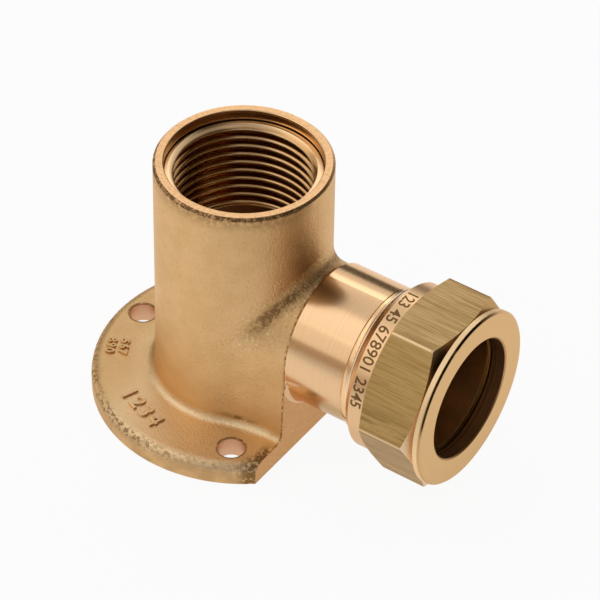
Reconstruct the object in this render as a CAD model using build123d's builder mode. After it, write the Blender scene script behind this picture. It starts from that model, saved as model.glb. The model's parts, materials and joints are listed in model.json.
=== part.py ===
from build123d import *
import math
import os

# A cast brass wall plate elbow. Its tower has a female pipe thread, and a compression joint on its arm
# takes a plain 22 mm tube. Sizes are in millimetres. The origin is where the tower's axis meets the back
# face of the wall flange, +Z runs up the tower and +X runs out along the arm.

# Three quarter inch parallel pipe thread, in the tower and on the arm
thread_major_r = 13.22
thread_minor_r = 12.06
thread_flank_angle = 27.5

# Wall flange
flange_radius = 27.1
flange_thickness = 4.0
flange_edge_round = 1.8
screw_edge_distance = 4.8
screw_hole_radius = 2.45
screw_hole_count = 3
first_screw_angle = 180

# Tower
tower_height = 50.2
tower_radius = 15.55
tower_draft = 0.8
tower_rim_break = 0.45
counterbore_radius = 13.72
counterbore_depth = 2.17
counterbore_edge_break = 0.15
tower_thread_length = 17.5
chamber_radius = 11.9

# Boss that carries the arm, and the plane faced across it and the flange
arm_height = 20.6
boss_radius = 12.15
boss_draft = 2.6
faced_plane_x = 17.4
crease_round = 3.5
foot_round = 1.5

# Turned arm
neck_start_x = 17.8
neck_end_x = 29.2
neck_radius = 12.8
neck_root_round = 1.3
neck_edge_break = 0.12
waterway_radius = 10.0
socket_stop_x = 22.0

# Tube, and the seat that the olive is pressed into
tube_radius = 11.0
tube_clearance = 0.05
seat_half_angle = 20.0
seat_lip = 0.15
seat_clearance = 0.04

# Olive
olive_width = 7.0
olive_wall = 0.9
olive_edge_wall = 0.35
olive_ridge_width = 1.8

# Compression nut, from its face back to its rear
nut_face_x = 47.2
nut_length = 16.0
nut_across_flats = 30.7
nut_turned_by = -1.6
nut_corner_round = 0.5
nut_mouth_break = 0.2
nut_collar_radius = 16.09
nut_collar_edge = 0.35
nut_collar_back = 1.25
nut_neck_back = 1.65
nut_neck_radius = 15.0
nut_front_chamfer = 1.13
nut_rear_chamfer = 1.15
nut_band_length = 3.95
nut_band_radius = 15.25
nut_rear_radius = 14.1
nut_lip_length = 3.1
nut_lip_clearance = 0.1
nut_cone_half_angle = 30.0
nut_relief_length = 1.6
nut_relief_wall = 1.9
nut_thread_clearance = 0.06
nut_thread_lead_in = 0.13

# Worked out from the sizes above
screw_circle_radius = flange_radius - screw_edge_distance
tower_thread_top = tower_height - counterbore_depth
tower_thread_end = tower_thread_top - tower_thread_length
foot_half_width = boss_radius + arm_height * math.tan(math.radians(boss_draft))
foot_tower_radius = tower_radius + arm_height * math.tan(math.radians(tower_draft))
casting_overrun = flange_radius + 1
arm_axis = Axis((0, 0, arm_height), (1, 0, 0))
socket_radius = tube_radius + tube_clearance
nut_rear_x = nut_face_x - nut_length
nut_apothem = nut_across_flats / 2
nut_corner_radius = nut_apothem / math.cos(math.radians(30))
nut_bore_radius = thread_minor_r + nut_thread_clearance
nut_mouth_radius = thread_major_r + nut_thread_lead_in
nut_lip_radius = socket_radius + nut_lip_clearance
nut_lip_rear_x = nut_face_x - nut_lip_length
nut_cone_slope = math.tan(math.radians(nut_cone_half_angle))
nut_cone_rear_x = nut_lip_rear_x - (nut_bore_radius - nut_lip_radius) / nut_cone_slope
olive_ridge_radius = socket_radius + olive_wall
olive_edge_radius = socket_radius + olive_edge_wall
olive_front_x = nut_lip_rear_x - (olive_edge_radius + seat_clearance - nut_lip_radius) / nut_cone_slope
olive_rear_x = olive_front_x - olive_width
seat_slope = math.tan(math.radians(seat_half_angle))
seat_start_x = olive_rear_x - (olive_edge_radius + seat_clearance - socket_radius) / seat_slope
seat_end_radius = thread_minor_r - seat_lip
arm_end_x = seat_start_x + (seat_end_radius - socket_radius) / seat_slope


def waist_points(tower_r, half_width):
    """Start, middle and end of the hollow arc that leads from a round tower to a boss of this half width.

    The arc touches the tower's circle, and runs along X where it meets the faced plane.
    """
    radius = (faced_plane_x**2 + half_width**2 - tower_r**2) / (2 * (tower_r - half_width))
    centre = Vector(faced_plane_x, half_width + radius)
    start = centre * (tower_r / centre.length)
    middle = centre + Vector(0, -radius).rotate(Axis.Z, (start - centre).get_angle(Vector(0, -1)) / -2)
    return start, middle, Vector(faced_plane_x, half_width)


def plan_outline(tower_r, half_width):
    """The tower and its boss seen from above: a round back, two hollow sides and a straight run out."""
    start, middle, end = waist_points(tower_r, half_width)
    with BuildLine() as outline:
        ThreePointArc((start.X, -start.Y), (-tower_r, 0), start)
        ThreePointArc(start, middle, end)
        Line(end, (casting_overrun, half_width))
        Line((casting_overrun, half_width), (casting_overrun, -half_width))
        Line((casting_overrun, -half_width), (end.X, -end.Y))
        ThreePointArc((end.X, -end.Y), (middle.X, -middle.Y), (start.X, -start.Y))
    return outline.edges()


# Neck root: a hollow fillet round the neck, kept within the outline of the boss
with BuildPart() as neck_root:
    root_end_x = faced_plane_x + neck_root_round
    root_top = arm_height + neck_radius + neck_root_round
    with BuildSketch(Plane.XZ):
        with BuildLine():
            Line((faced_plane_x, arm_height), (faced_plane_x, root_top))
            TangentArc(
                (faced_plane_x, root_top),
                (root_end_x, arm_height + neck_radius),
                tangent=(0, -1),
            )
            Line((root_end_x, arm_height + neck_radius), (root_end_x, arm_height))
            Line((root_end_x, arm_height), (faced_plane_x, arm_height))
        make_face()
    revolve(axis=arm_axis)
    with BuildSketch(Plane.YZ.offset(faced_plane_x)):
        with BuildLine():
            Line((-foot_half_width, 0), (foot_half_width, 0))
            Line((foot_half_width, 0), (boss_radius, arm_height))
            ThreePointArc((boss_radius, arm_height), (0, arm_height + boss_radius), (-boss_radius, arm_height))
            Line((-boss_radius, arm_height), (-foot_half_width, 0))
        make_face()
    extrude(amount=neck_root_round, mode=Mode.INTERSECT)

# Outlines of the tower and boss at the wall and at the height of the arm
foot_outline = plan_outline(foot_tower_radius, foot_half_width)
waist_outline = plan_outline(tower_radius, boss_radius)

# Elbow body: the casting first, then what is machined on it
with BuildPart() as elbow_body:
    # Tower and round arm, with the casting's fillet where they meet
    with BuildSketch():
        Circle(tower_radius)
    extrude(amount=tower_height)
    with BuildSketch(Plane.YZ):
        with Locations((0, arm_height)):
            Circle(boss_radius)
    extrude(amount=casting_overrun)
    curved_edges = elbow_body.edges().filter_by(GeomType.LINE, reverse=True)
    crease = curved_edges.filter_by(GeomType.CIRCLE, reverse=True)
    fillet(crease, crease_round)
    # Waisted upper half of the boss
    waist_start, waist_middle, waist_end = waist_points(tower_radius, boss_radius)
    with BuildSketch(Plane.XY.offset(arm_height)):
        with BuildLine():
            Line((waist_start.X, 0), waist_start)
            ThreePointArc(waist_start, waist_middle, waist_end)
            Line(waist_end, (waist_end.X, 0))
            Line((waist_end.X, 0), (waist_start.X, 0))
        make_face()
    revolve(axis=arm_axis, revolution_arc=180)
    # Drafted lower half, down to the wall
    with BuildSketch():
        make_face(foot_outline)
    with BuildSketch(Plane.XY.offset(arm_height)):
        make_face(waist_outline)
    loft(ruled=True)
    # Flange, rounded on its rim
    with BuildSketch():
        Circle(flange_radius)
    extrude(amount=flange_thickness)
    rims = elbow_body.edges().group_by(SortBy.LENGTH)[-1]
    fillet(rims.sort_by(Axis.Z)[-1], flange_edge_round)
    # Face across the boss and the flange, then the fillet at the tower's foot
    split(bisect_by=Plane.YZ.offset(faced_plane_x), keep=Keep.BOTTOM)
    on_flange = elbow_body.edges().filter_by_position(Axis.Z, flange_thickness, flange_thickness)
    fillet(on_flange.filter_by(GeomType.BSPLINE), foot_round)
    # Neck and the core of the arm's thread, whose last groove runs out against the neck
    add(neck_root.part)
    flank_run = (neck_radius - thread_minor_r) * math.tan(math.radians(thread_flank_angle))
    with BuildSketch(Plane.XZ):
        with Locations((0, arm_height)):
            Polygon(
                (neck_start_x, 0),
                (neck_start_x, neck_radius),
                (neck_end_x - neck_edge_break, neck_radius),
                (neck_end_x, neck_radius - neck_edge_break),
                (neck_end_x + flank_run, thread_minor_r),
                (arm_end_x, thread_minor_r),
                (arm_end_x, 0),
                align=None,
            )
    revolve(axis=arm_axis)
    # Tower's rim, counterbore and thread, drawn at the thread's root
    chamfer(elbow_body.edges().sort_by(Axis.Z)[-1], tower_rim_break)
    with Locations((0, 0, tower_height)):
        CounterBoreHole(
            radius=thread_major_r,
            counter_bore_radius=counterbore_radius,
            counter_bore_depth=counterbore_depth,
            depth=tower_height - tower_thread_end,
        )
    chamfer(elbow_body.edges().group_by(Axis.Z)[-1].sort_by(SortBy.LENGTH)[0], counterbore_edge_break)
    # Cored chamber under the thread, with a round end where the water turns
    with BuildSketch(Plane.XZ):
        with BuildLine():
            Line((0, arm_height - chamber_radius), (0, tower_thread_end))
            Line((0, tower_thread_end), (chamber_radius, tower_thread_end))
            Line((chamber_radius, tower_thread_end), (chamber_radius, arm_height))
            CenterArc((0, arm_height), chamber_radius, -90, 90)
        make_face()
    revolve(axis=Axis.Z, mode=Mode.SUBTRACT)
    # Waterway, tube socket and the olive's seat, bored along the arm
    with BuildSketch(Plane.XZ):
        with Locations((0, arm_height)):
            Polygon(
                (0, 0),
                (0, waterway_radius),
                (socket_stop_x, waterway_radius),
                (socket_stop_x, socket_radius),
                (seat_start_x, socket_radius),
                (arm_end_x, seat_end_radius),
                (arm_end_x, 0),
                align=None,
            )
    revolve(axis=arm_axis, mode=Mode.SUBTRACT)
    # Screw holes
    with Locations((0, 0, flange_thickness)):
        with PolarLocations(screw_circle_radius, screw_hole_count, start_angle=first_screw_angle):
            Hole(screw_hole_radius, depth=flange_thickness)

# Olive: a soft ring with a blunt ridge, tapered both ways, that is squeezed onto the tube
with BuildPart() as olive:
    olive_middle_x = (olive_rear_x + olive_front_x) / 2
    with BuildSketch(Plane.XZ):
        with Locations((0, arm_height)):
            Polygon(
                (olive_rear_x, socket_radius),
                (olive_rear_x, olive_edge_radius),
                (olive_middle_x - olive_ridge_width / 2, olive_ridge_radius),
                (olive_middle_x + olive_ridge_width / 2, olive_ridge_radius),
                (olive_front_x, olive_edge_radius),
                (olive_front_x, socket_radius),
                align=None,
            )
    revolve(axis=arm_axis)

# Compression nut: a hexagon between a turned band and a round collar
with BuildPart() as compression_nut:
    hexagon_rear_x = nut_rear_x + nut_band_length
    hexagon_front_x = nut_face_x - nut_neck_back
    with BuildSketch(Plane.YZ.offset(hexagon_rear_x)):
        with Locations((0, arm_height)):
            RegularPolygon(nut_apothem, 6, major_radius=False, rotation=nut_turned_by)
    extrude(amount=hexagon_front_x - hexagon_rear_x)
    fillet(compression_nut.edges().filter_by(Axis.X), nut_corner_round)
    # Turned chamfers on the hexagon's corners
    with BuildSketch(Plane.XZ):
        with Locations((0, arm_height)):
            Polygon(
                (hexagon_rear_x, 0),
                (hexagon_rear_x, nut_apothem),
                (hexagon_rear_x + nut_rear_chamfer, nut_corner_radius),
                (hexagon_front_x - nut_front_chamfer, nut_corner_radius),
                (hexagon_front_x, nut_neck_radius),
                (hexagon_front_x, 0),
                align=None,
            )
    revolve(axis=arm_axis, mode=Mode.INTERSECT)
    # Band behind the hexagon, and the neck and collar in front of it
    band_bevel = nut_band_radius - nut_rear_radius
    with BuildSketch(Plane.XZ):
        with Locations((0, arm_height)):
            Polygon(
                (nut_rear_x, 0),
                (nut_rear_x, nut_rear_radius),
                (nut_rear_x + band_bevel, nut_band_radius),
                (hexagon_rear_x, nut_band_radius),
                (hexagon_front_x, nut_neck_radius),
                (nut_face_x - nut_collar_back, nut_collar_radius),
                (nut_face_x - nut_collar_edge, nut_collar_radius),
                (nut_face_x, nut_collar_radius - nut_collar_edge),
                (nut_face_x, 0),
                align=None,
            )
    revolve(axis=arm_axis)
    # Bore: thread, drawn at its crests, then the relief, the cone that drives the olive, and the lip
    mouth_depth = nut_mouth_radius - nut_bore_radius
    relief_radius = nut_apothem - nut_relief_wall
    with BuildSketch(Plane.XZ):
        with Locations((0, arm_height)):
            Polygon(
                (nut_rear_x, 0),
                (nut_rear_x, nut_mouth_radius),
                (nut_rear_x + mouth_depth, nut_bore_radius),
                (nut_cone_rear_x - nut_relief_length, nut_bore_radius),
                (nut_cone_rear_x - nut_relief_length, relief_radius),
                (nut_cone_rear_x, relief_radius),
                (nut_cone_rear_x, nut_bore_radius),
                (nut_lip_rear_x, nut_lip_radius),
                (nut_face_x - nut_mouth_break, nut_lip_radius),
                (nut_face_x, nut_lip_radius + nut_mouth_break),
                (nut_face_x, 0),
                align=None,
            )
    revolve(axis=arm_axis, mode=Mode.SUBTRACT)

elbow_body.part.label = "elbow_body"
olive.part.label = "olive"
compression_nut.part.label = "compression_nut"
os.makedirs("parts", exist_ok=True)
export_step(elbow_body.part, "parts/elbow_body.step")
export_step(olive.part, "parts/olive.step")
export_step(compression_nut.part, "parts/compression_nut.step")
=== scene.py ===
# %% [markdown]
# # A wall plate elbow in cast brass
#
# This part is a plumber's fitting. A round flange is screwed to the wall, a tower with a female pipe thread
# takes a tap, and an arm with a compression nut takes a 22 mm tube. Three pieces make it: the cast body, the
# nut, and the soft brass ring between them, called the olive.
#
# The CAD model already holds the true shapes, so this script dresses them. It adds what CAD leaves out, which
# is the two threads and the marks, and gives every surface its finish: blasted casting skin, turned faces, and
# a hexagon drawn from bar. Everything is in metres, in the CAD model's own frame.

import json
import math
from functools import reduce
from types import SimpleNamespace

import bpy
import numpy as np
from mathutils import Matrix, Vector


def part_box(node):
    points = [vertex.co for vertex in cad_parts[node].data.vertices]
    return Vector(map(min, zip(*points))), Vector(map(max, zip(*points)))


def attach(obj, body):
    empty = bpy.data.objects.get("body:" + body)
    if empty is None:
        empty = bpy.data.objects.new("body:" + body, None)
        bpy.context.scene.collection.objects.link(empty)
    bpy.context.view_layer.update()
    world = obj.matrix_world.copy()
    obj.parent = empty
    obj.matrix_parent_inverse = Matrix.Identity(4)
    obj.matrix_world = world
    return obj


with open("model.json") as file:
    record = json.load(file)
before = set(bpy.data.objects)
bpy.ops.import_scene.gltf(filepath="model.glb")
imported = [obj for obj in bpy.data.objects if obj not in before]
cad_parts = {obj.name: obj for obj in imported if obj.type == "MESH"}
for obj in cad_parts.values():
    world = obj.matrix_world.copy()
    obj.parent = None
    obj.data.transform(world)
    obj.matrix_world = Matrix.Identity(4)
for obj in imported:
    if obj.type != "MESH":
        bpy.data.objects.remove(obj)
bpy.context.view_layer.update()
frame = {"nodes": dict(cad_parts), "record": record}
body = frame["nodes"]["elbow_body"]
nut = frame["nodes"]["compression_nut"]
olive = frame["nodes"]["olive"]

# %% [markdown]
# ## Sizes that the finishes and threads need
#
# A finish changes where a tool has cut, so the shaders must know where the faces lie. The mounts in the packed
# record and the boxes of the nodes give most places. The rest are a few real sizes of such a fitting.

# %% Sizes that the frame gives, in millimetres
MM = 0.001


def mount(name):
    """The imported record's mount of this name."""
    return next(m for m in frame["record"]["mounts"] if m["name"] == name)


def box_mm(node):
    """A node's lowest and highest corner, in millimetres."""
    return [np.array(corner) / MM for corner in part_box(node)]


body_low, body_high = box_mm("elbow_body")
nut_low, nut_high = box_mm("compression_nut")
screws = mount("screw_holes")["dims"]
thread_mount = mount("tower_thread")

flange_r = -body_low[0]
tower_top = body_high[2]
arm_end = body_high[0]
arm_height = mount("tube_socket")["pos_m"][2] / MM
nut_rear, nut_face = nut_low[0], nut_high[0]
screw_circle_r, screw_r = screws["pcd_mm"] / 2, screws["hole_r_mm"]
thread_root_r = thread_mount["dims"]["r_mm"]
thread_length = thread_mount["dims"]["length_mm"]
ledge_z = round(thread_mount["pos_m"][2] / MM + thread_length / 2, 2)
print(f"flange r {flange_r:.2f}, tower top {tower_top:.2f}, arm at {arm_height:.2f}, ledge at {ledge_z:.2f}")
print(f"arm end {arm_end:.2f}, nut from {nut_rear:.2f} to {nut_face:.2f}")
print(f"screw holes r {screw_r:.2f} on a circle of r {screw_circle_r:.2f}")

# %% Sizes of such a fitting, in millimetres
thread_crest_r, thread_pitch = 12.06, 1.814
tower_r, counterbore_r, flange_top = 15.55, 13.72, 4.0
faced_x, neck_end = 17.4, 29.2
band_r, band_start, hex_start, hex_end, hex_apothem = 15.25, 32.3, 35.2, 45.5, 15.35
hex_turned_by = math.radians(-1.6)
print(f"thread pitch {thread_pitch} mm, hexagon {2 * hex_apothem:.1f} mm across flats")

# %% [markdown]
# ## From arrays to a mesh
#
# A threaded surface is a grid: one direction goes along the path, the other round the profile. So one helper
# takes a grid of points, joins each cell with a face, and closes the two ends. It uses whole arrays, because a
# loop over vertices in Python is slow and hard to read. Another tells whether a closed piece's faces point
# outwards, and turns them round if they don't.


# %% Arrays to a piece, and a grid to a closed tube
def mesh_piece(name, points, faces):
    """A mesh object from points in millimetres and faces, each of which lists its points in order."""
    mesh = bpy.data.meshes.new(name)
    mesh.from_pydata((np.asarray(points) * MM).tolist(), [], faces)
    piece = bpy.data.objects.new(name, mesh)
    bpy.context.scene.collection.objects.link(piece)
    print(name, len(mesh.vertices), "points", len(mesh.polygons), "faces")
    return piece


def tube_piece(name, rings, smooth_angle=40):
    """A closed piece from rings, an array of shape (rings, points, 3) in millimetres.

    Cell (i, j) joins point j and j + 1 of ring i to the same points of ring i + 1, and j wraps round. Each end
    ring is closed by one face.
    """
    count, around, _ = rings.shape
    index = np.arange(count * around).reshape(count, around)
    following = np.roll(index, -1, axis=1)
    cells = np.stack([index[:-1], following[:-1], following[1:], index[1:]], axis=-1).reshape(-1, 4)
    faces = cells.tolist() + [index[0, ::-1].tolist(), index[-1].tolist()]
    piece = mesh_piece(name, rings.reshape(-1, 3), faces)
    piece.data.validate()
    piece.data.shade_smooth()
    piece.data.set_sharp_from_angle(angle=math.radians(smooth_angle))
    return piece


def volume_sign(piece):
    """Above 0 if the faces point outwards: the sum of each triangle's signed volume with the origin."""
    mesh = piece.data
    mesh.calc_loop_triangles()
    corners = np.empty(len(mesh.loop_triangles) * 3, int)
    mesh.loop_triangles.foreach_get("vertices", corners)
    points = np.empty(len(mesh.vertices) * 3)
    mesh.vertices.foreach_get("co", points)
    a, b, c = points.reshape(-1, 3)[corners.reshape(-1, 3)].transpose(1, 0, 2)
    return float(np.einsum("ij,ij->", a, np.cross(b, c)))


def face_outwards(piece):
    """Turns the faces of a closed piece round if they point inwards."""
    if volume_sign(piece) < 0:
        piece.data.flip_normals()


# %% [markdown]
# ## Pipe threads
#
# A parallel pipe thread is one ridge wound round a cylinder. Its flanks meet at 55 degrees, and its crest and
# root are rounded. A displaced cylinder would do for a picture, but its rows of faces would cut across the
# ridge. Here the rows follow the helix: the ridge's cross-section is carried along it, and its base is buried
# in the CAD wall. Where the real thread stops at a flat face, the points past that face are laid on it, so the
# last turn runs out into the face as a cut thread does.


# %% Thread ridges
def ridge_profile(points=14, steepness=1.16):
    """One pitch of thread as (place along the axis from -1/2 to 1/2 pitch, height from 0 at root to 1 at crest).

    A 55 degree V is cut off by rounded tops: height = (1 + sin(pi/2 * clip(steepness * triangle, -1, 1))) / 2,
    where the triangle wave is 1 - 4 * abs(place).
    """
    along = np.linspace(-0.5, 0.5, points)
    triangle = 1 - 4 * np.abs(along)
    return along, (1 + np.sin(np.pi / 2 * np.clip(steepness * triangle, -1, 1))) / 2


def helix_ridge(root_r, crest_r, buried_r, phase, low, high, per_turn=120):
    """Rings of a right-handed ridge along the local z axis, cut off flat at low and high.

    Point (i, j): angle a = 2 pi i / per_turn, radius = root + (crest - root) * height j, and
    z = phase + pitch * (a / 2 pi + along j). A point past a cut is laid on it, and stands no higher there than the
    ridge does where the cut meets it. Two buried points close the section.
    """
    along, height = ridge_profile()
    first = math.ceil(((low - phase) / thread_pitch - 0.5) * per_turn)
    last = math.floor(((high - phase) / thread_pitch + 0.5) * per_turn)
    angle = np.arange(first, last + 1)[:, None] * 2 * np.pi / per_turn
    middle = phase + thread_pitch * angle / (2 * np.pi)
    z = middle + thread_pitch * along
    low_height, high_height = (np.interp((cut - middle) / thread_pitch, along, height) for cut in (low, high))
    height = np.where(z < low, np.minimum(height, low_height), height)
    height = np.where(z > high, np.minimum(height, high_height), height)
    radius = root_r + (crest_r - root_r) * height
    buried = np.full_like(z[:, :1], buried_r)
    radius = np.concatenate([radius, buried, buried], axis=1)
    z = np.clip(np.concatenate([z, z[:, -1:], z[:, :1]], axis=1), low, high)
    return np.stack([radius * np.cos(angle), radius * np.sin(angle), z], axis=-1)


# %% The tower's thread and the arm's
# A ridge's root lies a little inside the CAD wall, so that the two surfaces don't flicker, and its base lies
# deeper. The phase is the height of the ridge's middle at angle 0. The tower's was read off the photograph.
root_inside, base_inside = 0.01, 0.2
rings = helix_ridge(
    root_r=thread_root_r + root_inside,
    crest_r=thread_crest_r,
    buried_r=thread_root_r + base_inside,
    phase=1.12,
    low=ledge_z - thread_length + 0.02,
    high=ledge_z + 0.01,
)
tower_thread = tube_piece("tower_thread", rings)
face_outwards(tower_thread)
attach(tower_thread, "elbow_body")

rings = helix_ridge(
    root_r=thread_crest_r - root_inside,
    crest_r=thread_root_r,
    buried_r=thread_crest_r - base_inside,
    phase=0.80,
    low=neck_end + 0.12,
    high=arm_end - 0.25,
)
# The helix is wound about z, so its axes are renamed: z to X along the arm, x to Y and y to Z.
rings = rings[..., [2, 0, 1]] + [0, 0, arm_height]
arm_thread = tube_piece("arm_thread", rings)
face_outwards(arm_thread)
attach(arm_thread, "elbow_body")

# %% [markdown]
# ## Shader maths as Python
#
# A finish is arithmetic on places and noises. Written with nodes it is unreadable, so a small class wraps a
# socket, and its operators add the Math nodes: `1 - mask` or `radius * 0.5 + noise` is then a line of Python.
# One method, `add`, makes any other node from its type, its settings and what goes into its sockets.


# %% Wires: numbers that vary over a surface
class Wire:
    """A number that varies over a surface: one output socket, with arithmetic."""

    def __init__(self, graph, socket):
        self.graph, self.socket = graph, socket

    def maths(self, operation, *values):
        """A Math node on these values."""
        return self.graph.add("ShaderNodeMath", {"operation": operation}, dict(enumerate(values)))

    def __add__(self, other):
        return self.maths("ADD", self, other)

    __radd__ = __add__

    def __sub__(self, other):
        return self.maths("SUBTRACT", self, other)

    def __rsub__(self, other):
        return self.maths("SUBTRACT", other, self)

    def __mul__(self, other):
        return self.maths("MULTIPLY", self, other)

    __rmul__ = __mul__

    def __truediv__(self, other):
        return self.maths("DIVIDE", self, other)

    def __abs__(self):
        return self.maths("ABSOLUTE", self)

    def root(self):
        """The square root."""
        return self.maths("SQRT", self)

    def angle(self, other):
        """The angle in radians of this over the other: 0 along the other's axis."""
        return self.maths("ARCTAN2", self, other)

    def over(self, other):
        """The larger of two. On masks it joins two zones."""
        return self.maths("MAXIMUM", self, other)

    def under(self, other):
        """The smaller of two."""
        return self.maths("MINIMUM", self, other)

    def ramp(self, low, high, start=0.0, end=1.0):
        """Rises smoothly from start to end as the value goes from low to high."""
        settings = {"interpolation_type": "SMOOTHSTEP"}
        return self.graph.add("ShaderNodeMapRange", settings, {"Value": self, 1: low, 2: high, 3: start, 4: end})

    def fall(self, low, high):
        """Falls smoothly from 1 to 0 as the value goes from low to high."""
        return self.ramp(low, high, 1.0, 0.0)

    def band(self, low, high, edge):
        """1 between low and high. The soft edges reach this far to either side."""
        return self.ramp(low - edge, low + edge) * self.fall(high - edge, high + edge)


# %% A material's graph
SLANT_TINT = (1.0, 0.90, 0.78, 1.0)


class Graph:
    """One material's nodes, with places in millimetres from Object coordinates. A world's graph has a direction."""

    def __init__(self, name, world=None):
        self.world = world is not None
        self.material = world or bpy.data.materials.new(name)
        self.material.use_nodes = True
        self.tree = self.material.node_tree
        self.tree.nodes.clear()
        if self.world:
            self.direction = self.add("ShaderNodeTexCoord", output="Generated")
            return
        place = self.add("ShaderNodeTexCoord", output="Object")
        self.place = self.add("ShaderNodeVectorMath", {"operation": "SCALE"}, {0: place, "Scale": 1 / MM})
        split = self.add("ShaderNodeSeparateXYZ", {}, {0: self.place})
        outputs = split.socket.node.outputs
        self.x, self.y, self.z = (Wire(self, outputs[axis]) for axis in "XYZ")
        self.arm_z = self.z - arm_height
        self.tower_radius = (self.x * self.x + self.y * self.y).root()
        self.arm_radius = (self.y * self.y + self.arm_z * self.arm_z).root()

    def add(self, kind, settings=None, inputs=None, output=0):
        """Adds a node: its type, its settings, and the values or wires of its sockets."""
        node = self.tree.nodes.new(kind)
        for key, value in (settings or {}).items():
            setattr(node, key, value)
        for key, value in (inputs or {}).items():
            if isinstance(value, Wire):
                self.tree.links.new(value.socket, node.inputs[key])
            else:
                node.inputs[key].default_value = value
        return Wire(self, node.outputs[output])

    def stretched(self, x, y, z):
        """The place with each axis scaled, in millimetres: a small factor draws a pattern out along its axis."""
        return self.add("ShaderNodeVectorMath", {"operation": "MULTIPLY"}, {0: self.place, 1: (x, y, z)})

    def noise(self, size, detail=3.0, roughness=0.55, place=None):
        """Fractal noise from 0 to 1. Its lumps are about this many millimetres across."""
        inputs = {"Vector": place or self.place, "Scale": 1 / size, "Detail": detail, "Roughness": roughness}
        return self.add("ShaderNodeTexNoise", {}, inputs)

    def colour(self, factor, first, second):
        """A blend of two colours, each a tuple or a wire."""
        first, second = (value if isinstance(value, Wire) else (*value, 1) for value in (first, second))
        inputs = {"Factor": factor, 6: first, 7: second}
        return self.add("ShaderNodeMix", {"data_type": "RGBA", "blend_type": "MIX"}, inputs, output=2)

    def bump(self, height, depth, under=None):
        """Normals of a relief: height from 0 to 1, depth in millimetres."""
        inputs = {"Height": height, "Distance": depth * MM, "Strength": 1.0}
        if under is not None:
            inputs["Normal"] = under
        return self.add("ShaderNodeBump", {}, inputs)

    def mixed(self, factor, first, second):
        """A blend of two surfaces."""
        return self.add("ShaderNodeMixShader", {}, {0: factor, 1: first, 2: second})

    def metal(self, colour, roughness, normal):
        """Ends the graph in a metal surface. The tint keeps brass yellow where it is seen at a slant."""
        inputs = {"Base Color": colour, "Metallic": 1.0, "Roughness": roughness, "Normal": normal}
        self.finish(self.add("ShaderNodeBsdfPrincipled", {}, {**inputs, "Specular Tint": SLANT_TINT}))
        return self.material

    def finish(self, surface):
        """Links a surface to the output."""
        node = self.tree.nodes.new("ShaderNodeOutputWorld" if self.world else "ShaderNodeOutputMaterial")
        self.tree.links.new(surface.socket, node.inputs["Surface"])


def dress(piece, material):
    """Puts the material in the piece's only slot."""
    piece.data.materials.clear()
    piece.data.materials.append(material)
    print(piece.name, "wears", material.name)


# %% [markdown]
# ## Masks and coats
#
# A finish is laid like paint: a base, then one coat after another, each where its mask is 1. A mask is made from
# distances in millimetres, because the tools that made the zones moved in circles and straight lines. A tool mark
# is noise of one distance, so it runs in circles or in lines as the tool did.


# %% Masks and coats
def near(wire, place, width):
    """1 where the wire is at place, falling smoothly to 0 this far off."""
    return abs(wire - place).fall(0.0, width)


def tool_marks(g, distance, size):
    """Circles cut by a tool: noise of one distance, in marks of about this many millimetres."""
    inputs = {"W": distance / size, "Scale": 1.0, "Detail": 2.0, "Roughness": 0.6}
    return g.add("ShaderNodeTexNoise", {"noise_dimensions": "1D"}, inputs)


def coats(g, colour, *layers):
    """A colour under coats that go on in order. Each is a mask and the colour where the mask is 1."""
    for mask, coat in layers:
        colour = g.colour(mask, colour, coat)
    return colour


def covered(value, *layers):
    """A number changed zone by zone, in order. Each layer is a mask and the number where the mask is 1."""
    for mask, level in layers:
        value = value + mask * (level - value)
    return value


# %% [markdown]
# ## Casting skin and turned faces
#
# The body is cast in sand and blasted, so its skin is matt, with a fine grain and low lumps, and brown scale
# stays in the hollow between tower and arm, with painted shade over it. A lathe then cuts the tower's mouth, the
# thread, the plane across the boss and the whole arm. Those faces are brighter and smoother, with tool marks round
# the axis. One material could be made for each face, but a mask for each zone keeps the CAD mesh whole.


# %% Noises of the casting, and where tools have cut
def casting_noises(g):
    """What the skin, its stains and its relief share, from broad lumps to fine specks."""
    return SimpleNamespace(
        lumps=g.noise(4.5, detail=3.0),
        grain=g.noise(0.4, detail=3.0, roughness=0.65),
        specks=g.noise(0.5, detail=2.0, roughness=0.7),
        scale=g.noise(1.1, detail=5.0, roughness=0.7),
        pits=g.noise(0.75, detail=4.0, roughness=0.75),
    )


chamber_top, chamber_floor = 30.4, 6.5


def cut_zones(g):
    """A mask for each surface that a tool has cut, and `cut` for the rim, the mouth and all beyond the plane."""
    above_chamber = g.z.ramp(chamber_top - 0.1, chamber_top + 0.1)
    beyond_plane = g.x.ramp(faced_x - 0.03, faced_x - 0.01)
    zone = SimpleNamespace()
    zone.rim = g.z.ramp(tower_top - 0.5, tower_top - 0.4) * g.tower_radius.fall(tower_r + 0.15, tower_r + 0.35)
    zone.mouth = g.tower_radius.fall(counterbore_r + 0.03, counterbore_r + 0.08) * above_chamber
    zone.wall = g.tower_radius.band(counterbore_r - 0.22, counterbore_r + 0.03, 0.03)
    zone.wall = zone.wall * g.z.band(ledge_z + 0.05, tower_top - 0.1, 0.05)
    zone.thread = g.tower_radius.fall(thread_root_r + 0.08, thread_root_r + 0.13)
    zone.thread = zone.thread * g.z.band(chamber_top, ledge_z - 0.55, 0.35)
    zone.crest = g.tower_radius.fall(thread_crest_r + 0.02, thread_crest_r + 0.14)
    zone.chamber = g.tower_radius.fall(12.6, 13.0) * (1 - above_chamber)
    zone.chamber = zone.chamber * g.z.ramp(chamber_floor - 0.5, chamber_floor + 0.5)
    zone.waterway = g.arm_radius.fall(11.5, 11.8) * g.x.ramp(8.0, 9.0)
    zone.neck = g.x.ramp(faced_x + 0.05, faced_x + 0.1)
    zone.plane = beyond_plane * (1 - zone.neck)
    zone.cut = zone.rim.over(zone.mouth).over(beyond_plane)
    return zone


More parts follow.
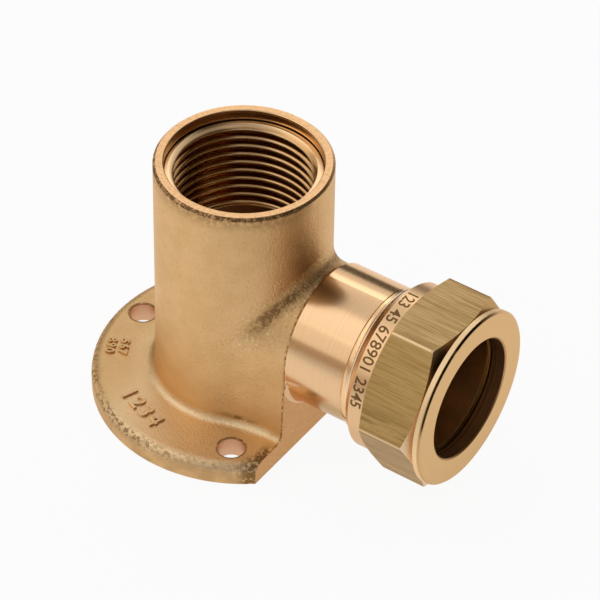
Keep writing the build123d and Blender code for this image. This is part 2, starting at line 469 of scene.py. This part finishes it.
def screw_distance(g):
    """How far off the axis of the nearest screw hole is."""
    distances = []
    for degrees in (60, 180, 300):
        angle = math.radians(degrees)
        x = g.x - screw_circle_r * math.cos(angle)
        y = g.y - screw_circle_r * math.sin(angle)
        distances.append((x * x + y * y).root())
    return reduce(Wire.under, distances)


# %% [markdown]
# ## Where stains and painted shade lie
#
# Blasting doesn't reach everywhere. Scale, moulding sand or a burr stays dark in the crease between tower and
# arm, at the rim's lip, on the flange's edge and its cut corner, at the foot of the boss and round the screw
# holes. The crease is darkened further by painted shade, and the flange's outer side by a painted dark reflection.
# Each place is an area of its own, and a noise breaks it into blotches, because a smooth one would look painted
# on. The areas lie at the front, where the photograph shows them.


# %% Stains of the casting, and painted shade
crease_tower_r, crease_arm_r = 16.2, 12.95


def stain_and_shade_areas(g, noise, zone, screws_off):
    """Where stains and painted shade can lie. Each area is 1 where they are thickest."""
    front = g.y.fall(-6.0, -1.0)
    area = SimpleNamespace()
    # The crease: brown scale, darkened further by painted shade in the hollow.
    area.crease = near(g.tower_radius, crease_tower_r, 1.4) * near(g.arm_radius, crease_arm_r, 1.1)
    area.crease = area.crease * g.x.ramp(5.0, 9.0) * g.z.ramp(23.5, 27.5) * g.z.ramp(30.5, 33.0, 1.0, 0.45)
    area.crease = area.crease * noise.lumps.ramp(0.35, 0.6, 0.55, 1.1) * 1.6
    area.sand = near(g.tower_radius, crease_tower_r + 0.2, 4.5) * near(g.arm_radius, crease_arm_r + 0.25, 4.5)
    area.sand = area.sand * g.x.ramp(4.0, 9.0) * g.z.ramp(18.0, 24.0)
    # A painted shadow along the step between the boss's plane and the neck.
    area.root = near(g.x, faced_x, 0.5) * near(g.arm_radius, crease_arm_r, 0.35)
    area.lip = g.z.band(tower_top - 0.65, tower_top + 0.1, 0.2) * g.tower_radius.ramp(15.08, 15.16) * front
    area.haze = g.z.ramp(tower_top - 3.6, tower_top - 0.8) * g.tower_radius.ramp(15.2, 15.3) * front
    area.edge = g.tower_radius.ramp(flange_r - 1.59, flange_r - 0.49) * g.z.ramp(1.6, 2.8)
    area.edge = area.edge * g.x.ramp(-10.0, 12.0, 1.0, 0.45)
    # The flange's outer side: a painted dark reflection in patches.
    area.side = g.tower_radius.ramp(flange_r - 0.39, flange_r - 0.09) * noise.lumps.ramp(0.35, 0.65, 0.05, 0.4)
    area.foot = near(g.z, 5.7, 0.9) * g.tower_radius.fall(17.6, 18.6) * g.x.band(6.5, 11.0, 3.0) * front
    area.burr = near(g.x, faced_x - 0.1, 0.45) * (1 - zone.neck)
    cut_corner = g.x.ramp(13.5, 16.5) * g.y.fall(-20.2, -18.0)
    cut_edge = g.x.ramp(14.9, 16.3) * g.y.fall(-17.0, -14.0) * g.z.ramp(2.0, 3.0)
    area.corner = cut_corner.over(cut_edge)
    area.hole_lip = near(screws_off, screw_r + 0.1, 0.35) * g.z.ramp(flange_top - 0.4, flange_top - 0.2)
    return area


def stain_and_shade_mask(noise, area):
    """Stains and painted shade of all areas. Each area's noise is cut between two levels and has its own strength.
    """
    stain_and_shade = (area.crease * (0.35 + 0.65 * noise.pits.ramp(0.42, 0.56))).under(0.8).over(area.side)
    blotches = [
        (area.haze, noise.pits, 0.35, 0.60, 0.45),
        (area.edge, noise.pits, 0.49, 0.56, 0.75),
        (area.foot, noise.scale, 0.34, 0.50, 0.85),
        (area.burr, noise.pits, 0.42, 0.56, 0.90),
        (area.corner, noise.pits, 0.38, 0.52, 0.90),
        (area.hole_lip, noise.pits, 0.34, 0.50, 0.85),
    ]
    for place, pattern, low, high, strength in blotches:
        stain_and_shade = stain_and_shade.over(place * pattern.ramp(low, high) * strength)
    return stain_and_shade.under(1.0)


# %% [markdown]
# ## Colours of the metal
#
# A colour here is the metal's own, as red, green and blue in linear light, apart from painted light and shade.
# The cut faces are paler than the skin, and the deep ones are painted browner, as painted shade for the light
# that is thrown to and fro between brass walls and loses its blue each time.


# %% Colours of the body
def skin_colour(g, noise, area, screws_off):
    """The blasted skin: two-tone lumps, pale grain, bright and dark specks, painted light and a painted highlight.
    """
    # Painted light: the front of the flange and of the tower's foot is made lighter.
    lit_front = g.y.fall(-20.0, -7.0) * g.x.ramp(-17.0, -9.0) * g.z.fall(3.0, 15.0) * g.z.ramp(2.2, 3.0)
    # A painted highlight along the front of the fillet at the boss's foot.
    fillet_highlight = near(g.z, 4.9, 1.2) * g.tower_radius.ramp(16.0, 17.0) * g.tower_radius.fall(19.0, 20.5)
    return coats(
        g,
        g.colour(noise.lumps.ramp(0.35, 0.65), (0.70, 0.435, 0.19), (0.77, 0.49, 0.228)),
        (noise.grain.ramp(0.35, 0.65) * 0.25, (0.84, 0.57, 0.30)),
        (noise.specks.ramp(0.64, 0.74) * 0.4 + noise.specks.ramp(0.52, 0.66) * area.sand * 0.7, (0.92, 0.68, 0.39)),
        (noise.specks.fall(0.28, 0.36) * 0.5, (0.42, 0.24, 0.09)),
        (noise.pits.ramp(0.66, 0.71) * 0.5, (0.36, 0.20, 0.075)),
        (lit_front * 0.9, (0.88, 0.63, 0.36)),
        (fillet_highlight * g.y.ramp(-2.0, 2.0, 0.85, 0.0), (1.0, 0.78, 0.48)),
        (screws_off.fall(screw_r + 0.02, screw_r + 0.05), (0.74, 0.44, 0.26)),
    )


def cut_colours(g, noise):
    """The colours of the rim, of the plane across the boss and of the neck."""
    rim = g.colour(tool_marks(g, g.tower_radius + g.z, 0.5), (0.80, 0.475, 0.23), (0.90, 0.565, 0.30))
    rim = g.colour(noise.specks.fall(0.4, 0.55) * 0.45, rim, (0.56, 0.33, 0.14))
    plane = g.colour(tool_marks(g, g.arm_radius, 0.7), (0.62, 0.325, 0.13), (0.70, 0.39, 0.165))
    mottle = noise.pits.ramp(0.5, 0.68) * noise.lumps.ramp(0.4, 0.6)
    plane = g.colour(mottle * 0.6, plane, (0.86, 0.56, 0.30))
    neck = g.colour(tool_marks(g, g.x, 0.35), (0.80, 0.50, 0.27), (0.87, 0.58, 0.33))
    # Painted shade on the neck's underside.
    underside = g.arm_z.fall(-3.8, -2.0) * g.x.ramp(20.0, 24.0, 0.1, 1.0)
    neck = g.colour(underside * 0.9, neck, (0.58, 0.38, 0.19))
    # A painted highlight on the arm past the neck's end, where the thread runs out.
    neck = g.colour(g.x.ramp(neck_end - 0.05, neck_end), neck, (1.0, 0.80, 0.58))
    return rim, plane, neck


def body_colour(g, noise, zone, area, stain_and_shade, screws_off):
    """The skin with its stains and painted shade, then each cut face over them, some with painted light."""
    rim, plane, neck = cut_colours(g, noise)
    # A painted shadow in the corner at the foot of the counterbore wall.
    wall_foot_shadow = zone.mouth * g.tower_radius.ramp(13.5, 13.58) * g.z.fall(ledge_z + 0.25, ledge_z + 0.31)
    return coats(
        g,
        skin_colour(g, noise, area, screws_off),
        (stain_and_shade, (0.225, 0.11, 0.032)),
        (zone.rim, rim),
        (area.lip * (0.1 + 0.8 * noise.pits.ramp(0.4, 0.54)), (0.14, 0.07, 0.023)),
        (zone.mouth, (1.0, 0.68, 0.38)),
        # Painted shade: the counterbore wall is browner as a deep face.
        (zone.wall, (0.64, 0.36, 0.15)),
        # A painted highlight line on the wall just above the ledge.
        (zone.wall * near(g.z, ledge_z + 0.47, 0.16), (1.0, 0.78, 0.48)),
        (wall_foot_shadow, (0.04, 0.02, 0.01)),
        # Painted highlights on the thread's crests and painted shade in its grooves.
        (zone.thread, g.colour(zone.crest, (0.56, 0.31, 0.125), (1.0, 0.77, 0.45))),
        # Painted shade: the chamber here and the waterway below are darker and browner as deep faces.
        (zone.chamber, (0.56, 0.33, 0.145)),
        (zone.plane, plane),
        (zone.neck, neck),
        (zone.waterway, (0.50, 0.30, 0.14)),
        # A painted shadow in the step between the boss's plane and the neck.
        (area.root * noise.pits.ramp(0.35, 0.5) * 0.9, (0.12, 0.06, 0.02)),
    )


# %% [markdown]
# ## Relief, and the whole finish
#
# The relief has two layers. The skin's grain is deep, up to 0.12 mm. Over it lie the tool marks, which are so
# fine that they only draw a highlight out into lines.


# %% The body's brass
def body_brass():
    """The casting with its cut faces."""
    g = Graph("cast_and_turned_brass")
    noise, zone, screws_off = casting_noises(g), cut_zones(g), screw_distance(g)
    area = stain_and_shade_areas(g, noise, zone, screws_off)
    stain_and_shade = stain_and_shade_mask(noise, area)
    roughness = covered(
        0.36 + noise.lumps * 0.1,
        (stain_and_shade, 0.55),
        (zone.rim.over(zone.mouth), 0.34),
        (zone.thread, 0.15),
        (zone.wall, 0.24),
        (area.lip, 0.6),
        (zone.thread * zone.crest, 0.32),
        (zone.chamber, 0.45),
        (zone.plane, 0.36),
        (zone.neck, 0.18),
    )
    rough_skin = noise.grain * 0.9 + noise.lumps * 0.5 + noise.pits * stain_and_shade * 0.8 + noise.specks * area.sand * 1.5
    relief = rough_skin * (1 - zone.cut) + noise.grain * zone.rim * 0.3
    marks = tool_marks(g, g.x, 0.16) * zone.neck + tool_marks(g, g.arm_radius, 0.3) * zone.plane * 2.0
    marks = marks + tool_marks(g, g.tower_radius, 0.2) * zone.rim
    normal = g.bump(marks * 0.1, 0.03, under=g.bump(relief, 0.12))
    return g.metal(body_colour(g, noise, zone, area, stain_and_shade, screws_off), roughness, normal)


cast_brass = body_brass()
for piece in (body, tower_thread, arm_thread):
    dress(piece, cast_brass)

# %% [markdown]
# ## The nut
#
# A compression nut is turned from hexagon bar. The flats keep the bar's drawn skin, dull and streaked along the
# bar, while its chamfers, collar, face and mouth are cut bright. The flats are found by their distance from the
# axis across the flats: the largest of three such distances is the hexagon's own radius.

# %% Zones of the nut
cone_start, collar_start, lip_back = 44.0, 46.0, 44.1


def hexagon_radius(g):
    """The distance from the arm's axis, measured across the nearest pair of flats."""
    distances = []
    for side in range(3):
        angle = math.radians(30 + 60 * side) + hex_turned_by
        distances.append(abs(g.y * math.cos(angle) + g.arm_z * math.sin(angle)))
    return reduce(Wire.over, distances)


def nut_zones(g):
    """A mask for each surface of the nut. `turn` is the angle round the arm, from the -Y side upwards."""
    zone = SimpleNamespace(turn=g.arm_z.angle(0 - g.y))
    zone.flat = hexagon_radius(g).ramp(hex_apothem - 0.06, hex_apothem - 0.03) * g.x.band(hex_start, hex_end, 0.04)
    zone.edge = g.arm_radius.ramp(17.5, 17.66) * g.x.band(hex_start, hex_end, 0.1)
    zone.band = g.arm_radius.fall(15.6, 15.7) * g.x.fall(hex_start - 0.2, hex_start - 0.1)
    zone.rear = g.x.fall(band_start - 0.05, band_start)
    zone.cone = (1 - zone.flat) * g.x.band(cone_start, collar_start - 0.05, 0.05) * g.arm_radius.ramp(15.0, 15.2)
    zone.groove = g.arm_radius.ramp(13.0, 13.2) * g.arm_radius.fall(15.7, 15.9)
    zone.groove = zone.groove * g.x.band(hex_end, collar_start, 0.05)
    zone.collar = g.arm_radius.ramp(15.95, 16.05) * g.x.band(collar_start, nut_face - 0.4, 0.05)
    zone.collar_line = near(g.x, nut_face - 0.13, 0.22) * g.arm_radius.ramp(15.5, 15.6)
    zone.mouth = g.arm_radius.fall(11.3, 11.5) * g.x.ramp(lip_back - 0.1, lip_back + 0.1)
    zone.inside = g.arm_radius.fall(13.6, 13.8) * g.x.fall(lip_back - 0.1, lip_back + 0.1)
    return zone


# %% [markdown]
# ## Drawn flats and turned faces
#
# Drawn bar is streaked because the die scratches it, so its noise is drawn out along the bar: the place is scaled
# down along X before the noise reads it. One flat is rubbed darker, and one is yellower, as the photograph shows.


# %% The nut's brass
def drawn_colour(g, zone, streaks, bands):
    """The bar's skin on the flats."""
    rubbed = g.arm_z.band(0.0, 4.5, 1.2) * g.y.fall(-8.0, -6.0)
    return coats(
        g,
        g.colour(streaks.ramp(0.32, 0.68), (0.30, 0.18, 0.06), (0.58, 0.39, 0.18)),
        (bands.ramp(0.55, 0.7) * 0.55, (0.64, 0.44, 0.21)),
        (streaks.ramp(0.46, 0.56) * rubbed * 0.85, (0.15, 0.08, 0.025)),
        (zone.turn.band(0.03, 1.07, 0.02) * 0.3, (0.78, 0.51, 0.17)),
    )


def nut_brass():
    """The nut: drawn flats, corners pale in front and dark behind, turned faces, and painted light and shade."""
    g = Graph("bar_and_turned_brass")
    zone = nut_zones(g)
    turn = zone.turn
    along = g.stretched(0.035, 1.0, 1.0)
    streaks = g.noise(0.34, detail=4.0, roughness=0.75, place=along)
    bands = g.noise(2.2, detail=2.0, place=along)
    patches = g.noise(1.4, detail=3.0)
    around = g.add("ShaderNodeTexNoise", {"noise_dimensions": "1D"}, {"W": turn * 3.0, "Scale": 1.0, "Detail": 3.0})

    turned = g.colour(tool_marks(g, g.x + g.arm_radius, 0.4), (0.67, 0.41, 0.18), (0.75, 0.48, 0.22))
    # The hexagon's corners: pale at the front (-Y) and dark at the back.
    corner_colour = g.colour(g.y.ramp(-4.0, -2.0), (0.92, 0.64, 0.37), (0.18, 0.09, 0.03))
    rings = tool_marks(g, g.x + 0.3 * g.noise(6.0), 0.5).ramp(0.3, 0.7)
    # A painted dark reflection: a broken black line along the collar's edge.
    collar_dark_reflection = zone.collar_line * turn.ramp(0.15, 0.4) * turn.fall(1.6, 2.0) * around.ramp(0.35, 0.5) * 1.5
    colour = coats(
        g,
        turned,
        (zone.flat, drawn_colour(g, zone, streaks, bands)),
        (zone.band, (0.82, 0.53, 0.29)),
        (zone.edge * bands.ramp(0.3, 0.6, 0.35, 0.9), corner_colour),
        (collar_dark_reflection, (0.05, 0.025, 0.008)),
        (zone.rear, (0.86, 0.62, 0.40)),
        # A painted highlight on the cone and groove at the lower front.
        (zone.groove.over(zone.cone) * turn.fall(0.3, 0.7), (0.96, 0.74, 0.50)),
        # A painted shadow in the groove's upper part.
        (zone.groove * turn.ramp(0.5, 0.9) * (0.4 + 0.6 * patches), (0.12, 0.06, 0.02)),
        # Painted shade on the cone at one corner of the hexagon.
        (zone.cone * turn.band(0.88, 1.2, 0.1) * 0.8, (0.10, 0.05, 0.015)),
        # The collar: turned brass, painted brighter as a highlight.
        (zone.collar, (1.0, 0.73, 0.43)),
        (zone.mouth, g.colour(rings, (0.40, 0.21, 0.085), (0.56, 0.32, 0.15))),
        # A painted shadow: the lip's inner end by the olive is black.
        (zone.mouth * g.x.fall(lip_back + 0.2, lip_back + 0.5), (0.05, 0.025, 0.01)),
        # Painted shade: the nut's bore behind the lip is dark brown.
        (zone.inside, (0.30, 0.17, 0.06)),
    )
    roughness = covered(
        0.27 + 0.06 * patches,
        (zone.flat, 0.34 + 0.1 * streaks),
        (zone.mouth.over(zone.inside), 0.4),
        (zone.collar.over(zone.cone), 0.5),
    )
    marks = tool_marks(g, g.x + g.arm_radius, 0.2)
    relief = zone.flat * streaks * 0.5 + (1 - zone.flat) * marks * 0.12
    return g.metal(colour, roughness, g.bump(relief, 0.03))


def olive_brass():
    """The olive: soft brass, with a painted highlight on the edge that shows in the nut's mouth."""
    g = Graph("soft_brass")
    colour = g.colour(tool_marks(g, g.x, 0.3), (0.76, 0.52, 0.24), (0.84, 0.60, 0.30))
    # A painted highlight on the olive's front edge.
    colour = g.colour(g.x.ramp(43.3, 43.4), colour, (1.0, 0.84, 0.52))
    return g.metal(colour, 0.25 + 0.1 * g.noise(1.0), g.bump(tool_marks(g, g.x, 0.2), 0.004))


dress(nut, nut_brass())
dress(olive, olive_brass())

# %% [markdown]
# ## Plain numerals
#
# Such fittings carry small numerals: a row rolled into the nut's band, and raised ones that the mould leaves on
# the flange. Here they are plain numerals in counting order. A picture mapped onto the brass could draw them, but
# they catch light as real shapes do only if they are shapes. So each group is set as text and made a mesh, and
# its points are laid on the band or on the flange with arrays.


# %% Text as points and faces
CAP_HEIGHT = 0.73  # a numeral's height, as a share of the font's size


def numeral_points(text, height, depth, spacing, offset=0.0, bevel=0.0):
    """Text as (points, faces), in millimetres: x along the row from its middle, y up from its foot, z outwards."""
    font = bpy.data.curves.new("numerals", "FONT")
    font.body = text
    font.size = height / CAP_HEIGHT
    font.space_character = spacing
    font.offset = offset
    font.extrude = depth / 2
    font.bevel_depth = bevel
    font.bevel_resolution = 1
    font.resolution_u = 4
    font.align_x = "CENTER"
    carrier = bpy.data.objects.new("numerals", font)
    bpy.context.scene.collection.objects.link(carrier)
    graph = bpy.context.evaluated_depsgraph_get()
    mesh = bpy.data.meshes.new_from_object(carrier.evaluated_get(graph))
    points = np.empty(len(mesh.vertices) * 3)
    mesh.vertices.foreach_get("co", points)
    faces = [list(polygon.vertices) for polygon in mesh.polygons]
    bpy.data.objects.remove(carrier)
    bpy.data.curves.remove(font)
    bpy.data.meshes.remove(mesh)
    return points.reshape(-1, 3), faces


# %% The nut's row, rolled round the band with its tops towards the nut's face
row_foot, row_middle = 32.70, math.radians(126)
points, faces = numeral_points("123 45 678901 2345", height=2.15, depth=0.05, spacing=1.0, offset=0.03)
angle = row_middle + points[:, 0] / band_r
radius = band_r + points[:, 2]
points = np.stack([row_foot + points[:, 1], radius * np.cos(angle), arm_height + radius * np.sin(angle)], axis=1)
nut_marks = mesh_piece("nut_marks", points, faces)
face_outwards(nut_marks)
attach(nut_marks, "nut")


def rolled_numeral_shade():
    """The rolled numerals' floor, darkened as painted shade."""
    g = Graph("rolled_marks")
    colour = g.colour(g.noise(0.5), (0.14, 0.075, 0.028), (0.27, 0.15, 0.06))
    return g.metal(colour, 0.45, g.bump(g.noise(0.3), 0.01))


dress(nut_marks, rolled_numeral_shade())


# %% The flange's raised numerals
def flange_numerals(text, height, centre, tops_towards, spacing):
    """Points and faces of numerals on the flange's top, about a centre (x, y), their tops towards an angle."""
    points, faces = numeral_points(text, height, depth=0.5, spacing=spacing, offset=0.02, bevel=0.08)
    turn = math.radians(tops_towards - 90)
    across = points[:, 0]
    up = points[:, 1] - height / 2
    x = centre[0] + across * math.cos(turn) - up * math.sin(turn)
    y = centre[1] + across * math.sin(turn) + up * math.cos(turn)
    return np.stack([x, y, flange_top + 0.05 + points[:, 2]], axis=1), faces


marks = [
    flange_numerals("1234", 3.1, (-7.4, -20.0), 69.0, 1.3),
    flange_numerals("567", 1.7, (-19.4, -9.4), 26.0, 1.2),
    flange_numerals("890", 1.7, (-21.5, -10.4), 26.0, 1.2),
]
for number, (points, faces) in enumerate(marks):
    piece = mesh_piece(f"flange_marks_{number + 1}", points, faces)
    face_outwards(piece)
    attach(piece, "elbow_body")
    dress(piece, cast_brass)

# %% [markdown]
# ## The studio
#
# Brass is a mirror with a colour, so its look is the room's. The part stands on a white table, and the camera
# sees white all round. What the brass sees is a room that gets dimmer from one side to the other, two soft boxes
# and a bright card that give the broad highlights, and dark cards that give the dark bands on the tower and the
# turned arm. These bands show how round the metal is. A photographer calls dark cards flags. The camera sees
# none of the cards, and nor does diffuse light.

# %% The room
scene = bpy.context.scene
scene.view_settings.view_transform = "Standard"
world = bpy.data.worlds.new("studio")
scene.world = world
world.use_nodes = True
WHITE = (1, 1, 1, 1)
part_middle = Vector((0.018, 0, 0.028))  # what the lamps and the camera look at, in metres


def room_light(g):
    """White for the camera. For all else the room is lighter towards -X and dimmer towards the camera and +X."""
    settings, inputs = {"operation": "DOT_PRODUCT"}, {0: g.direction, 1: (-0.9, 0.43, 0.0)}
    toward = g.add("ShaderNodeVectorMath", settings, inputs, "Value")
    camera_ray = g.add("ShaderNodeLightPath", output="Is Camera Ray")
    dim, light, white = (
        g.add("ShaderNodeBackground", {}, {"Color": WHITE, "Strength": level}) for level in (0.36, 0.84, 1.0)
    )
    return g.mixed(camera_ray, g.mixed(toward.ramp(-0.5, 0.7), dim, light), white)


room = Graph("studio", world)
room.finish(room_light(room))
print("room", world.name, "with", len(world.node_tree.nodes), "nodes")


# %% The table
def table_paint():
    """White, and white to the camera. In gloss it falls into shade under the arm and towards the front right.

    A camera below it sees through it, so that the part's underside can be looked at.
    """
    g = Graph("table")
    camera_ray = g.add("ShaderNodeLightPath", output="Is Camera Ray")
    outputs = camera_ray.socket.node.outputs
    gloss = Wire(g, outputs["Is Glossy Ray"]).over(Wire(g, outputs["Is Transmission Ray"]))
    front_right = (g.x - g.y) * math.sqrt(0.5)
    under_arm = g.x.band(14.0, 52.0, 4.0) * abs(g.y).fall(18.0, 28.0)
    light = front_right.fall(35.0, 110.0) * (1 - 0.2 * under_arm)
    diffuse = g.add("ShaderNodeBsdfDiffuse", {}, {"Color": (0.92, 0.92, 0.92, 1)})
    glow = g.add("ShaderNodeEmission", {}, {"Color": WHITE, "Strength": 1.0})
    table_top = g.mixed((camera_ray * 0.93).over(gloss * light * 0.85), diffuse, glow)
    from_below = g.add("ShaderNodeNewGeometry", output="Backfacing") * camera_ray
    g.finish(g.mixed(from_below, table_top, g.add("ShaderNodeBsdfTransparent")))
    return g.material


reach, drop = 3000.0, 0.05
corners = [(-reach, -reach, -drop), (reach, -reach, -drop), (reach, reach, -drop), (-reach, reach, -drop)]
table = mesh_piece("table", corners, [(0, 1, 2, 3)])
dress(table, table_paint())


# %% Cards that only reflections see
def card(name, points, faces, shade):
    """A flat or curved card that glows in one colour, from points in millimetres."""
    piece = mesh_piece(name, points, faces)
    g = Graph(name)
    g.finish(g.add("ShaderNodeEmission", {}, {"Color": (*shade, 1), "Strength": 1.0}))
    dress(piece, g.material)
    piece.visible_camera = False
    piece.visible_diffuse = False
    piece.visible_shadow = False


def wall_card(name, first, last, low, high, shade, distance=900.0, steps=32):
    """A card curved round the part: from azimuth first to last and elevation low to high, in degrees.

    Its points are distance * (cos a, sin a, tan e) for the angles a, at the two elevations e.
    """
    azimuths = np.radians(np.linspace(first, last, steps + 1))
    rows = [
        np.column_stack([np.cos(azimuths), np.sin(azimuths), np.full(steps + 1, math.tan(math.radians(elevation)))])
        for elevation in (max(low, 0.2), high)
    ]
    faces = [(i, i + 1, i + steps + 2, i + steps + 1) for i in range(steps)]
    card(name, distance * np.concatenate(rows), faces, shade)


wall_card("back_card", 60, 140, 0, 20, (0.10, 0.09, 0.08))
wall_card("left_card", 140, 178, 0, 35, (0.14, 0.12, 0.09))
wall_card("front_card", -165, -60, 0, 15, (0.44, 0.365, 0.28))
wall_card("bright_card", -150, -98, 15, 42, (0.98, 0.95, 0.9))
wall_card("right_card", -28, 66, 3, 74, (0.05, 0.038, 0.02))
overhead = [(250.0, 0.0, 1500.0), (-50.0, 0.0, 1500.0), (-50.0, -300.0, 1500.0), (250.0, -300.0, 1500.0)]
card("top_card", overhead, [(0, 1, 2, 3)], (0.10, 0.08, 0.05))


# %% Soft boxes
def soft_box(name, azimuth, elevation, size, radiance, distance=1.0):
    """A rectangular lamp that looks at the part. Its power is pi * area * radiance, its sizes are in metres."""
    az, el = math.radians(azimuth), math.radians(elevation)
    way = Vector((math.cos(az) * math.cos(el), math.sin(az) * math.cos(el), math.sin(el)))
    light = bpy.data.lights.new(name, "AREA")
    light.shape = "RECTANGLE"
    light.size, light.size_y = size
    light.energy = math.pi * size[0] * size[1] * radiance
    lamp = bpy.data.objects.new(name, light)
    lamp.location = part_middle + way * distance
    lamp.rotation_euler = way.to_track_quat("Z", "Y").to_euler()
    lamp.visible_camera = False
    scene.collection.objects.link(lamp)
    print(name, round(light.energy, 2), "W")


soft_box("front_box", -141, 55, (1.1, 0.52), 0.57)
soft_box("back_box", 121, 38, (0.5, 0.2), 0.95)

# %% [markdown]
# ## Camera
#
# The camera was found by fitting the sizes of the flange, tower, nut and bore to the photograph's outlines. It
# stands high on the side of +X and -Y, about 0.6 m off, with a long lens.

# %% Camera
azimuth, elevation, roll = (math.radians(value) for value in (34.122, 41.595, 1.025))
distance, aside, lowered = 0.59646, 0.00501, 0.000065
focal_pixels, image_pixels, sensor_mm = 3477.5, 600, 36

level = math.cos(elevation)
back = Vector((math.sin(azimuth) * level, -math.cos(azimuth) * level, math.sin(elevation)))
right = Vector((math.cos(azimuth), math.sin(azimuth), 0))
up = back.cross(right)
image_right = right * math.cos(roll) + up * math.sin(roll)
image_up = up * math.cos(roll) - right * math.sin(roll)
place = part_middle + back * distance - image_right * aside - image_up * lowered

camera_data = bpy.data.cameras.new("camera")
camera_data.sensor_width = sensor_mm
camera_data.lens = focal_pixels * sensor_mm / image_pixels
camera_data.clip_start = 0.01
camera = bpy.data.objects.new("camera", camera_data)
scene.collection.objects.link(camera)
camera.matrix_world = Matrix.Translation(place) @ Matrix((image_right, image_up, back)).transposed().to_4x4()
scene.camera = camera
print("camera at", tuple(round(value, 4) for value in place), "lens", round(camera_data.lens, 1))
